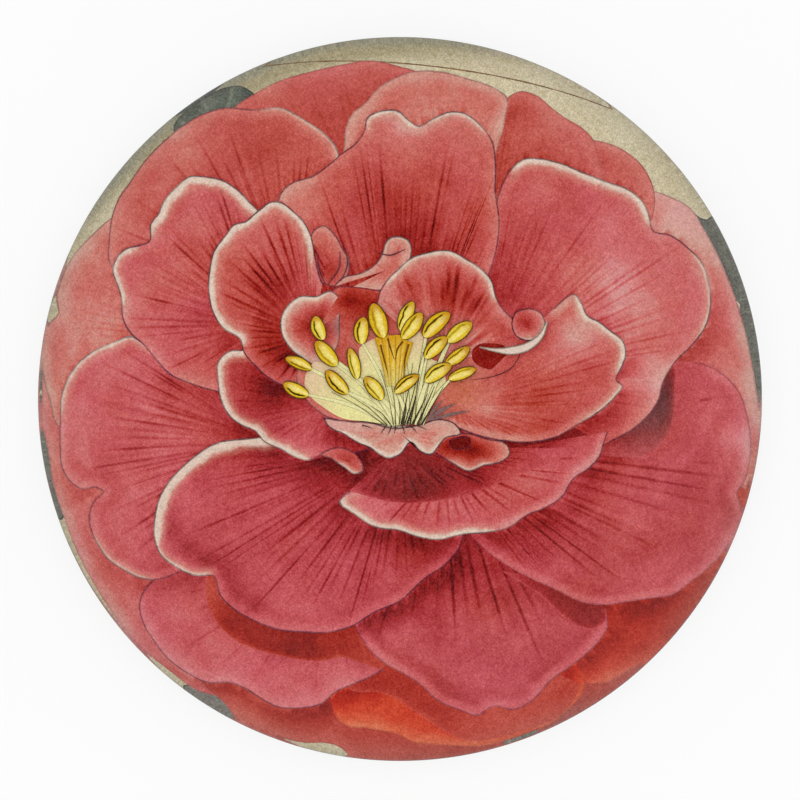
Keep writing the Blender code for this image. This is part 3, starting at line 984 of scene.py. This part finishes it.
lay_petal(
    [(13.5, -11.5), (16, -10.4), (19.4, -10.8), (19.6, -12.8), (17, -14), (14, -13.4), (13.5, -11.5)],
    (16.6, -12.2), wash=0.9, warm=0.8, heart=0.0, veins=0.0, drawn=0.5, small=True
)
lay_petal(
    [(-21.5, -5), (-15, -6), (-8.5, -6.5), (-1.5, -8), (5.5, -7), (11, -5.5), (15.5, -7), (17, -9.5),
     (12.5, -11), (10.5, -13.5), (8.5, -15.5), (5.5, -14.5), (3, -12), (0.5, -15), (-3, -16.5),
     (-5.5, -15.5), (-8.5, -13.5), (-12, -12), (-16, -9.5), (-19.5, -8), (-21.5, -5)],
    (0, -9.5), wash=0.04, warm=0.75, heart=0.2, veins=0.35, drawn=0.95, shade=0.5, rim=[(8, 19, 1.4)]
)

throw_shadows()
flat_inks("camellia_petals", laid, petal_paint(), FIRST_PETAL_LAYER)


# ---- The camellia's stamens ------------------------------------------------------------------
# Pale yellow filaments spread from the heart like a brush, and each ends in a golden anther
# with a dark groove. They are drawn last, over the petals, with dark lines between them.

STAMEN_LENGTHS = 20  # steps along a filament or an anther
STAMEN_WIDTHS = np.linspace(-1, 1, 7)  # steps across it, in its half widths
HEART = np.array([-2.0, -7.4])  # where the filaments come out
MASS_STEPS = 110, 12  # points along the outline of the filaments' mass, and rings out to it
MASS_HALF = 20.0  # its half width for the ink, so wide that no outline is drawn
THINNEST, BLUNTNESS = 0.0004, 0.8  # keep an anther's ends from a point, and blunter than an oval's
strokes = []  # every mark of the pen, the lowest first


def lay_stroke(path, half, colour, groove=0.0, shine=0.0, outline=0.0, pen=0.5, round_ends=False,
               start_colour=None):
    """A brush stroke: a path of points, and a half width that changes evenly along it.

    A point of the stroke is the path's point plus its side times the half width times a share
    from -1 to 1. Round ends make a blunt oval: they take the half width times the root of
    1 - (2 s - 1)^2, to the power of the bluntness, at the share s of the path. Pen is how wide
    the drawn outline is. A start colour goes over into the colour within the first half of the
    stroke.
    """
    line, _ = curve_through(path, STAMEN_LENGTHS)
    s = np.linspace(0, 1, STAMEN_LENGTHS)
    if round_ends:
        s = (1 - np.cos(math.pi * s)) / 2
        line = np.column_stack([np.interp(s, np.linspace(0, 1, STAMEN_LENGTHS), axis) for axis in line.T])
    run = np.gradient(line, axis=0)
    side = np.column_stack([run[:, 1], -run[:, 0]]) / np.maximum(np.hypot(*run.T), 1e-9)[:, None]
    wide = np.interp(s, np.linspace(0, 1, len(half)), half)
    if round_ends:
        wide = wide * np.sqrt(np.maximum(1 - (2 * s - 1) ** 2, THINNEST)) ** BLUNTNESS
    points = line[:, None] + side[:, None] * (wide[:, None] * STAMEN_WIDTHS)[:, :, None]
    width = len(STAMEN_WIDTHS)
    row = width * np.arange(STAMEN_LENGTHS - 1)[:, None]
    step = np.arange(width - 1)
    faces = np.stack([row + step, row + step + 1, row + width + step + 1, row + width + step], axis=2)
    count = STAMEN_LENGTHS * width
    across = np.tile(STAMEN_WIDTHS, STAMEN_LENGTHS)
    along = np.repeat(s, width)
    turned_over = np.clip(along * 2, 0, 1)[:, None]
    first = np.array(ink(*(start_colour or colour))[:3])
    strokes.append({
        "points": points.reshape(-1, 2),
        "faces": faces.reshape(-1, 4).tolist(),
        "values": {
            "stroke_place": np.column_stack([across, along, np.repeat(wide, width) / pen]),
            "stroke_colour": first * (1 - turned_over) + np.array(ink(*colour)[:3]) * turned_over,
            "stroke_marks": np.tile([groove, shine, outline], (count, 1)),
        },
    })


def stamen_paint():
    """The stamens' inks: body colour, pale shine, dark groove and outline."""
    material, tree, shader = finish_of("stamen_inks")
    across, along, half = carried(tree, "stroke_place")
    body = add(tree, "ShaderNodeAttribute", attribute_name="stroke_colour").outputs["Vector"]
    groove, shine, outline = carried(tree, "stroke_marks")
    waver = noise(tree, 1100, 2).outputs["Fac"]
    bent = reckon(tree, "MULTIPLY_ADD", centred(tree, waver), 0.5, across)

    def from_place(value, place):
        """How far the value is from a place, on either side."""
        return reckon(tree, "ABSOLUTE", reckon(tree, "SUBTRACT", value, place))

    shining = times(tree, fade(tree, from_place(bent, 0.15), 0.5, 0.1), shine)
    shining = times(tree, shining, fade(tree, along, 0.98, 0.7))
    colour = mix(tree, shining, body, ink(244, 226, 140))
    orange = times(tree, fade(tree, reckon(tree, "ABSOLUTE", across), 0.4, 0.9), shine)
    colour = mix(tree, times(tree, orange, 0.45), colour, ink(204, 138, 24))
    tip = times(tree, fade(tree, reckon(tree, "MULTIPLY_ADD", waver, 0.3, along), 0.7, 1.12), shine)
    colour = mix(tree, times(tree, tip, 0.75), colour, ink(178, 104, 22))
    cut = fade(tree, from_place(bent, -0.42), 0.19, 0.06)
    cut = times(tree, cut, fade(tree, from_place(along, 0.45), 0.42, 0.3))
    colour = mix(tree, times(tree, cut, groove), colour, ink(50, 38, 18))
    inner = reckon(tree, "SUBTRACT", 1.0, reckon(tree, "ABSOLUTE", across))
    lined = times(tree, fade(tree, times(tree, inner, half), 1.0, 0.3), outline)
    colour = mix(tree, lined, colour, ink(56, 44, 28))
    printed(tree, shader, colour, 0.5)
    return material


def bowed(start, end, bow):
    """A path from start to end whose middle is moved aside by the bow."""
    start, end = np.array(start, float), np.array(end, float)
    return [start, start * 0.5 + end * 0.5 + bow, end]


def way_of(angle):
    """The direction at an angle in degrees, counted from the right."""
    return np.array([math.cos(math.radians(angle)), math.sin(math.radians(angle))])


def filament_to(end, root, half, outline):
    """A filament from the heart to an anther, bowed a little outwards."""
    root = HEART + np.array(root, float)
    middle = root * 0.45 + end * 0.55 + np.array([(root - end)[0] * 0.10, 0.6])
    widths = [half * 0.8, half, half * 0.7]
    lay_stroke([root, middle, end], widths, (234, 226, 166), outline=outline, pen=0.2)


# The pale mass of the filaments, seen as one behind the separate ones. It turns pinkish outwards.
mass_rim, _ = curve_through([
    (6.1, -6.5), (9.2, -1.2), (12.6, 4.2), (11, 9.8), (7.6, 11.8), (6.8, 16), (5.4, 18.6), (1, 17.5),
    (-6.2, 17), (-9.3, 15.6), (-11, 14.4), (-11.4, 8.6), (-16, 8.4), (-20.5, 10), (-23.6, 10.2),
    (-26, 6.9), (-26.4, 4), (-24.8, 0.8), (-21, -2.4), (-15.6, -5.4), (-9, -6.2), (-3.8, -7.1),
], MASS_STEPS[0])
mass_points, mass_share, mass_faces = fan(mass_rim, HEART, MASS_STEPS[1])
mass_turn = np.concatenate([[0], np.tile(np.linspace(-0.8, 0.8, MASS_STEPS[0]), MASS_STEPS[1])])
mass_pink = np.clip((np.hypot(*(mass_points - HEART).T) - 15) / 12, 0, 1)[:, None]
mass_cream, mass_rose = np.array(ink(234, 224, 156)[:3]), np.array(ink(226, 192, 156)[:3])
strokes.append({
    "points": mass_points,
    "faces": mass_faces,
    "values": {
        "stroke_place": np.column_stack([mass_turn, mass_share, np.full(len(mass_share), MASS_HALF)]),
        "stroke_colour": mass_cream * (1 - mass_pink) + mass_rose * mass_pink,
        "stroke_marks": np.zeros((len(mass_share), 3)),
    },
})

# Each anther's middle, the way it points in degrees, its length and half its width.
anthers = (
    (-28.8, 2.7, 154, 7.7, 1.9), (-28.1, 9.8, 157, 7.9, 1.65), (-22.3, 19.7, 109, 6.9, 1.95),
    (-20.4, 12.6, 131, 8.9, 2.2), (-17.4, 4.7, 133, 8.7, 2.0), (-12.9, 9.8, 104, 8.9, 1.7),
    (-10.3, 18.9, 85, 7.5, 2.1), (-6, 21.7, 107, 10, 2.45), (1.9, 23, 66, 8.8, 1.9),
    (3.3, 20.3, 53, 9, 2.15), (10.2, 20.5, 43, 9.8, 2.3), (16.5, 18.5, 38, 8.6, 2.15),
    (10, 14.2, 44, 8.4, 2.05), (15.9, 12, 36, 8.2, 1.8), (10.6, 7.1, 33, 8.6, 2.05),
    (17.3, 6.9, 21, 8.1, 1.6), (1.9, 4.1, 37, 8.2, 1.75), (-7.3, 2.9, 128, 7.9, 2.0),
)
for number, (x, y, angle, length, half) in enumerate(anthers):
    foot = np.array([x, y]) - way_of(angle) * length * 0.42
    if number == 2:
        foot = np.array(anthers[3][:2])  # its filament comes out from behind the next anther
    spread = 5.0 * np.clip((x + 4) / 20, -1, 1) * (1.2 if x > 0 else 0.6)
    filament_to(foot, (2.2 + spread, 0.3), 0.58 + 0.12 * (number % 3), 0.9 if x > 0 else 0.5)

# Dark pen lines between the filaments, broad and black at the heart on the right. Each has its
# end, where it starts beside the heart, and half its width there.
for x, y, root, broad in (
    (-19, 2, -2.4, 0.14), (-14, 1, -1.6, 0.16), (-8, -2, -0.6, 0.2), (-5.4, 8, 0.2, 0.14),
    (-2.6, 5, 0.8, 0.16), (-0.4, 0, 1.8, 0.2), (1.6, -0.6, 2.8, 0.3), (4.5, 1.6, 3.9, 0.3),
    (3.6, 10, 2.3, 0.18), (6.4, 13, 3.3, 0.16), (7.6, 1.4, 5.4, 0.32), (9.6, 3.6, 6.8, 0.3),
    (5.4, 7, 4.7, 0.2), (12, 3.4, 8.0, 0.26),
):
    dark = (58, 50, 36) if x > 0 else (104, 94, 58)
    lay_stroke(bowed(HEART + (root, 0.3), (x, y), (0.3, 0.5)), [broad, broad * 0.6, 0.06], dark)

# Grey brush marks on the petal beside the heart, and short pen strokes over the lip before it.
for end, bow, half in (((15.5, -1.2), 0.5, 0.7), ((19.5, -3.2), 0.2, 0.55), ((12, -0.2), 0.6, 0.5)):
    lay_stroke(bowed(HEART + (9.6, 1.4), end, (0, bow)), [0.15, half, 0.05], (128, 96, 94))
for start_x, end_x, end_y in ((-10.5, -7.6, -8.2), (-3.8, -5.4, -9.6), (-2.3, -3.4, -10), (-1.2, -1.6, -9.6),
                              (0.5, 1.3, -9.6), (2.7, 4.8, -9.5), (4.6, 7.4, -8.6)):
    lay_stroke(bowed((start_x, -7.3), (end_x, end_y), (0.1, 0.1)), [0.2, 0.14, 0.05], (74, 48, 44))

# The folds of the two small petals behind.
for line_path in ([(-23, 40.9), (-22.2, 35.4), (-20.6, 31.6)], [(-16.6, 41), (-16.8, 36.5), (-20, 31.6)],
                  [(-15.2, 42), (-14.6, 37), (-16.4, 32.6)], [(-6.4, 40.6), (-3, 39.8), (1.4, 41.4)]):
    lay_stroke(line_path, [0.08, 0.2, 0.1], (92, 46, 56))
lay_stroke([(33.6, 13.4), (32.6, 11), (30.6, 8.4), (26, 6.3), (20, 5.3)], [0.1, 0.16, 0.06], (96, 40, 44))

# The young golden stamens that stand together in the middle, then the ripe anthers.
for tip_x, tip_y, root in ((-6, 17.2, -3.1), (-4.2, 17.8, -2.4), (2.6, 15.9, 0.1), (1.2, 17, -0.5),
                           (-0.4, 17.7, -1.1), (-2.3, 17.6, -1.8)):
    lay_stroke([(root, 3.6), (root * 0.62 + tip_x * 0.38, 10.5), (tip_x, tip_y)], [0.7, 1.0, 1.15],
               (224, 172, 34), shine=0.35, outline=0.35, pen=0.4, start_colour=(216, 196, 110))
for line_path in ([(-3.4, 16.8), (-2.6, 14), (-1.6, 11)], [(0.8, 16), (-0.6, 14), (-1.3, 10.5)],
                  [(2.4, 15.2), (1.4, 11), (1.0, 6)], [(-5.4, 15), (-4.4, 11), (-3.4, 7)]):
    lay_stroke(line_path, [0.28, 0.22, 0.08], (112, 74, 20))
for number, (x, y, angle, length, half) in enumerate(anthers):
    way, centre = way_of(angle), np.array([x, y], float)
    bow = np.array([-way[1], way[0]]) * (0.3, -0.2, 0.45, 0.1)[number % 4]
    gold = ((232, 196, 40), (228, 186, 30), (234, 204, 56))[number % 3]
    lay_stroke([centre - way * length / 2, centre + bow, centre + way * length / 2],
               [half, half * 1.08, half * 0.95], gold, groove=(1.0, 0.75, 0.95, 0.5)[number % 4],
               shine=0.8, outline=0.95, round_ends=True)

# The cream lip of the curled petal on the right.
lay_stroke([(22, 14.4), (26, 13.6), (31, 13.4), (35.5, 14.6), (39, 17.4), (40.8, 21.4)],
           [0.2, 0.6, 1.2, 1.2, 0.8, 0.3], (226, 202, 188), outline=0.7)
flat_inks("camellia_stamens", strokes, stamen_paint(), FIRST_PETAL_LAYER + len(laid))


# ---- The felt pad ----------------------------------------------------------------------------
# A round of dark green pressed felt, die cut and glued under the sheet, so that the glass can
# stand on a desk. Its nap stands up a little, and its cut edge is worn slightly round.

felt_low, felt_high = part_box("felt_pad")
felt_radius = (felt_high.x - felt_low.x) / 2


def pressed_felt():
    """Dark green felt: tangled fibres in two sizes, with a dusty sheen."""
    material, tree, shader = finish_of("pressed_felt")
    fibres = noise(tree, 2600, 4).outputs["Fac"]
    clumps = noise(tree, 380, 3).outputs["Fac"]
    green = mix(tree, fade(tree, fibres, 0.35, 0.65), ink(22, 38, 28), ink(58, 84, 62))
    green = mix(tree, fade(tree, clumps, 0.4, 0.7, 0.0, 0.5), green, ink(40, 62, 44))
    tree.links.new(green, shader.inputs["Base Color"])
    shader.inputs["Roughness"].default_value = 0.95
    shader.inputs["Sheen Weight"].default_value = 0.4
    sockets = {"Height": fibres, "Strength": 0.6, "Distance": 0.0002}
    tree.links.new(add(tree, "ShaderNodeBump", sockets).outputs[0], shader.inputs["Normal"])
    return material


FELT_GAP = 0.00002  # the felt's face lies this much under the sheet
FELT_CORNER = 0.00025  # how round its cut edge is worn
FELT_TURNS = 360
felt_top = paper_low.z - FELT_GAP
corner = np.linspace(0, QUARTER, 5)
felt_reach = np.concatenate([
    [0, felt_radius * 0.5],
    felt_radius - FELT_CORNER + FELT_CORNER * np.sin(corner),
    felt_radius - FELT_CORNER + FELT_CORNER * np.cos(corner),
    [felt_radius * 0.5, 0],
])
felt_height = np.concatenate([
    [felt_top, felt_top],
    felt_top - FELT_CORNER + FELT_CORNER * np.cos(corner),
    FELT_CORNER - FELT_CORNER * np.sin(corner),
    [0, 0],
])
felt = turned("felt_base", felt_reach, felt_height, FELT_TURNS)
felt.data.materials.append(pressed_felt())
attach(felt, "root")
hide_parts("felt_pad")


# ---- The table and the light -----------------------------------------------------------------
# The paperweight stands on a plain white table top in even studio light. The walls are bright
# and the ceiling over the camera is dark, so that the glass throws back no lamp.

TABLE_REACH = 3.0
SENSOR = 36.0
RIM_SHARE = 0.905  # how much of half the frame the dome's seen radius takes up
CAMERA_SHIFT = -0.00125  # sets the dome this share of the frame above its middle


def white_table():
    """White paint with a faint cloud in it, dim where the glass mirrors it."""
    material, tree, shader = finish_of("white_table")
    cloud = noise(tree, 8, 2).outputs["Fac"]
    white = mix(tree, cloud, (0.93, 0.93, 0.93, 1), (0.95, 0.95, 0.95, 1))
    mirrored = add(tree, "ShaderNodeLightPath").outputs["Is Glossy Ray"]
    white = mix(tree, mirrored, white, (0.22, 0.22, 0.22, 1))
    tree.links.new(white, shader.inputs["Base Color"])
    shader.inputs["Roughness"].default_value = 0.9
    shader.inputs["Specular IOR Level"].default_value = 0.0
    return material


def studio_world():
    """White all round for what it lights; for mirrored rays, bright walls and a dark ceiling."""
    world = bpy.data.worlds.new("studio")
    bpy.context.scene.world = world
    world.use_nodes = True
    tree = world.node_tree
    tree.nodes.clear()
    way = add(tree, "ShaderNodeTexCoord").outputs["Generated"]
    up = add(tree, "ShaderNodeSeparateXYZ", {0: way}).outputs["Z"]
    wall = fade(tree, up, 0.6, 0.0, 0.03, 0.26)
    room = add(tree, "ShaderNodeBackground", {"Color": (1, 1, 1, 1), "Strength": 1.05})
    seen = add(tree, "ShaderNodeBackground", {"Color": (1, 1, 1, 1), "Strength": wall})
    mirrored = add(tree, "ShaderNodeLightPath").outputs["Is Glossy Ray"]
    both = add(tree, "ShaderNodeMixShader", {0: mirrored, 1: room.outputs[0], 2: seen.outputs[0]})
    add(tree, "ShaderNodeOutputWorld", {"Surface": both.outputs[0]})


table_mesh = bpy.data.meshes.new("table_top")
table_corners = TABLE_REACH * np.array([(-1, -1, 0), (1, -1, 0), (1, 1, 0), (-1, 1, 0)])
table_mesh.from_pydata(table_corners.tolist(), [], [[0, 1, 2, 3]])
table_mesh.materials.append(white_table())
table_top = bpy.data.objects.new("table_top", table_mesh)
bpy.context.scene.collection.objects.link(table_top)
studio_world()

camera_data = bpy.data.cameras.new("camera")
camera_data.sensor_width = SENSOR
camera_data.lens = SENSOR / 2 * RIM_SHARE / rim_sight
camera_data.shift_y = CAMERA_SHIFT
camera_data.clip_start = 0.01
camera = bpy.data.objects.new("camera", camera_data)
camera.location = (0, 0, EYE_HEIGHT + sheet_level)
bpy.context.scene.collection.objects.link(camera)
bpy.context.scene.camera = camera
bpy.context.scene.view_settings.view_transform = "Standard"
